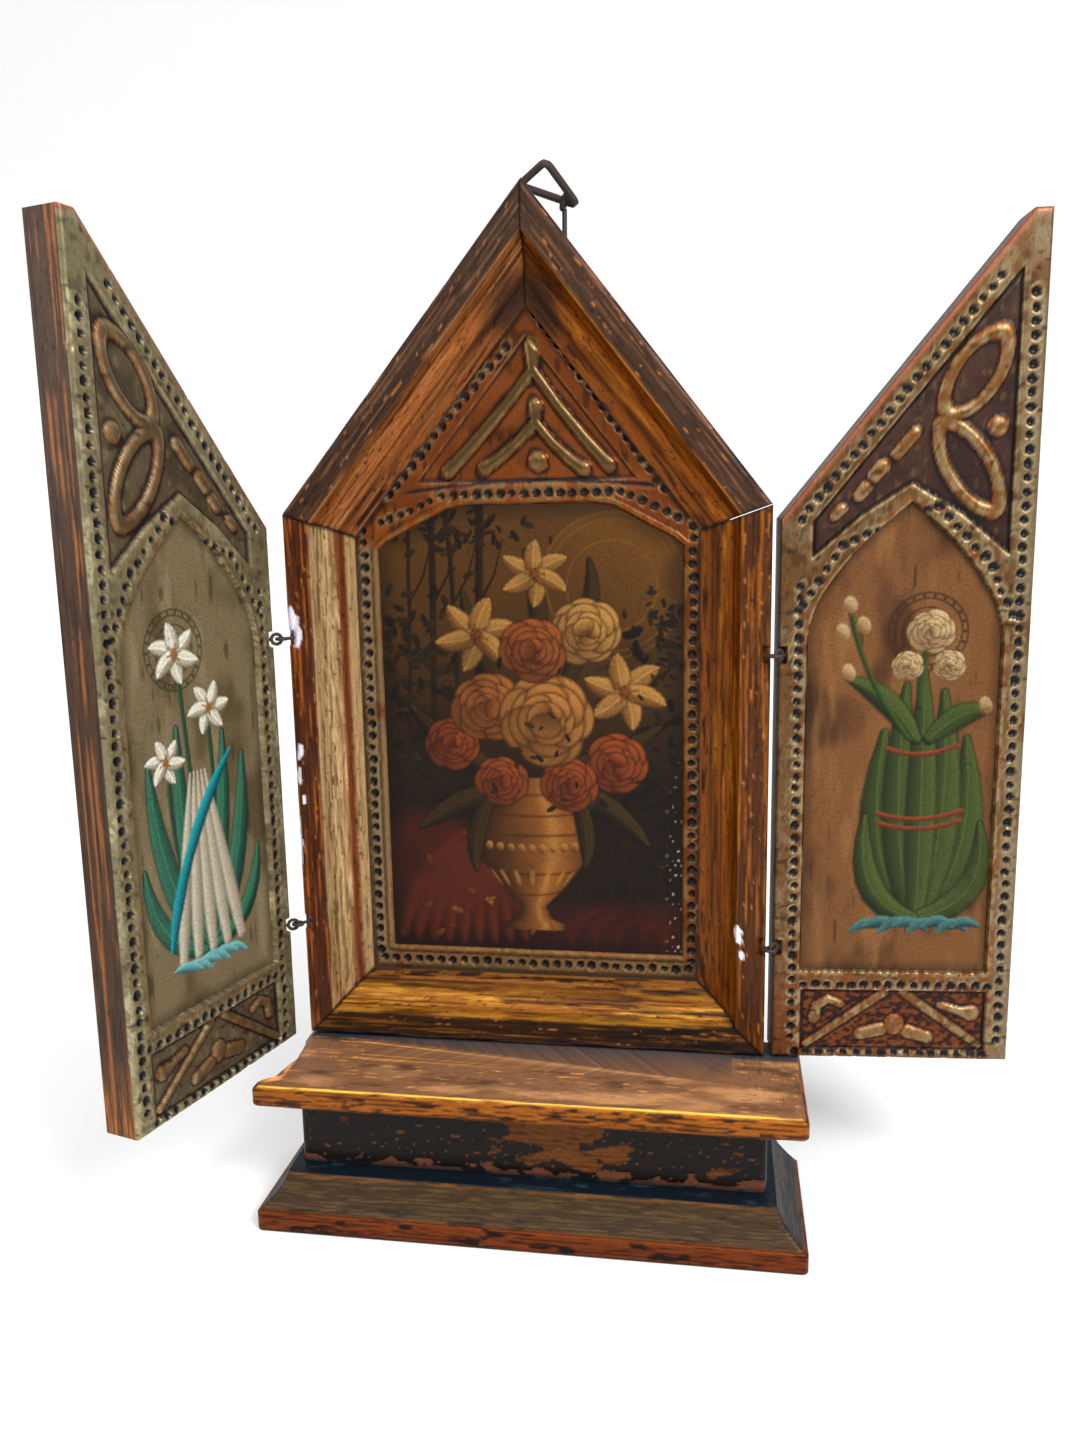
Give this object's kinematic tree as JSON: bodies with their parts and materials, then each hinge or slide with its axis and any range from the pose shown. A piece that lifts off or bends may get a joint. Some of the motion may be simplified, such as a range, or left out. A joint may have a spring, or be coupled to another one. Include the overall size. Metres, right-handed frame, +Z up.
{
  "type": "triptych altarpiece",
  "caption": "Small folding altarpiece: a gabled gilt panel on a moulded base, with pictures, hinged gabled wings and a hanging ring.",
  "frame": {"origin": "middle of the base's underside", "axes": "+Z up, the panel faces -Y, +X to the viewer's right when facing the pictures"},
  "size_m": [0.2583, 0.0902, 0.318],
  "materials": {
    "base_gilt": "worn gilding over brown, satin varnish",
    "die_paint": "near-black paint flaking to ochre",
    "frame_gilt": "toned gilding, rubbed to orange and brown",
    "wing_gilt": "toned silver-gold leaf over cast ornament",
    "print": "varnished paper print",
    "iron": "dark oxidised wire"
  },
  "bodies": {
    "altarpiece": {"plinth": "base_gilt", "die": "die_paint", "shelf_moulding": "base_gilt", "shelf": "base_gilt", "frame_bottom": "frame_gilt", "frame_right": "frame_gilt", "frame_gable_right": "frame_gilt", "frame_gable_left": "frame_gilt", "frame_left": "frame_gilt", "centre_board": "frame_gilt", "centre_picture": "print", "hanger_eye": "iron", "hinge_left_upper_panel": "iron", "hinge_left_lower_panel": "iron", "hinge_right_upper_panel": "iron", "hinge_right_lower_panel": "iron"},
    "left_wing": {"left_wing": "wing_gilt", "left_picture": "print", "hinge_left_upper_wing": "iron", "hinge_left_lower_wing": "iron"},
    "right_wing": {"right_wing": "wing_gilt", "right_picture": "print", "hinge_right_upper_wing": "iron", "hinge_right_lower_wing": "iron"},
    "hanger_ring": {"hanger_ring": "iron"}
  },
  "joints": [
    {"name": "left_wing_swing", "type": "hinge", "parent": "altarpiece", "child": "left_wing", "pos_m": [-0.07945, 0.0118, 0.134], "axis": [0, 0, 1], "range_deg": [-81.6, 105.4]},
    {"name": "right_wing_swing", "type": "hinge", "parent": "altarpiece", "child": "right_wing", "pos_m": [0.07305, 0.0118, 0.13], "axis": [0, 0, -1], "range_deg": [-2.7, 184.3]},
    {"name": "hanger_ring_swing", "type": "hinge", "parent": "altarpiece", "child": "hanger_ring", "pos_m": [0.0099, 0.029, 0.3096], "axis": [-0.9336, 0, 0.3584], "range_deg": [0, 210]}
  ]
}
